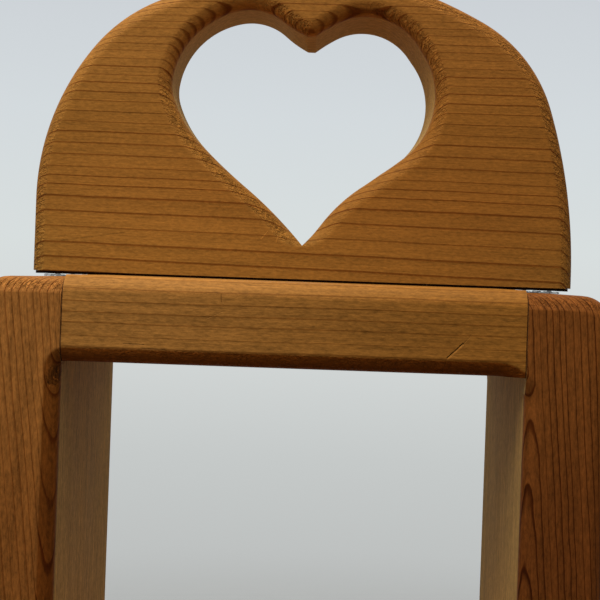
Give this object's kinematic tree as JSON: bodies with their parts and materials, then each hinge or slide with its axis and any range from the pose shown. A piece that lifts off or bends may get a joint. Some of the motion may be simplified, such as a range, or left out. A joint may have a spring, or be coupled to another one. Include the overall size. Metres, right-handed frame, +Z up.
{
  "type": "trinket shelf",
  "caption": "Narrow pine trinket shelf: a frame of open square compartments, routed edges, and an arched crest with a heart cut through it",
  "frame": {"origin": "middle of the bounding box's base, on the surface the shelf stands on", "axes": "+X across the shelf to the viewer's right, +Y to the back, +Z up; the open front faces -Y"},
  "size_m": [0.1396, 0.0656, 0.3858],
  "materials": {
    "pine_side": "aged satin varnish on red-brown pine",
    "pine_board": "aged satin varnish on golden pine",
    "pine_crest": "aged satin varnish on ringed pine",
    "beech_dowel": "bare wood",
    "zinc_steel": "zinc plated sheet"
  },
  "bodies": {
    "root": {"left_side": "pine_side", "right_side": "pine_side", "bottom_board": "pine_board", "shelf_lower": "pine_board", "shelf_upper": "pine_board", "top_board": "pine_board", "heart_crest": "pine_crest", "dowel_bottom_board_left_front": "beech_dowel", "dowel_bottom_board_left_back": "beech_dowel", "dowel_bottom_board_right_front": "beech_dowel", "dowel_bottom_board_right_back": "beech_dowel", "dowel_shelf_lower_left_front": "beech_dowel", "dowel_shelf_lower_left_back": "beech_dowel", "dowel_shelf_lower_right_front": "beech_dowel", "dowel_shelf_lower_right_back": "beech_dowel", "dowel_shelf_upper_left_front": "beech_dowel", "dowel_shelf_upper_left_back": "beech_dowel", "dowel_shelf_upper_right_front": "beech_dowel", "dowel_shelf_upper_right_back": "beech_dowel", "dowel_top_board_left_front": "beech_dowel", "dowel_top_board_left_back": "beech_dowel", "dowel_top_board_right_front": "beech_dowel", "dowel_top_board_right_back": "beech_dowel", "crest_dowel_left": "beech_dowel", "crest_dowel_right": "beech_dowel", "sawtooth_hanger": "zinc_steel", "hanger_nail_left": "zinc_steel", "hanger_nail_right": "zinc_steel"}
  },
  "joints": []
}
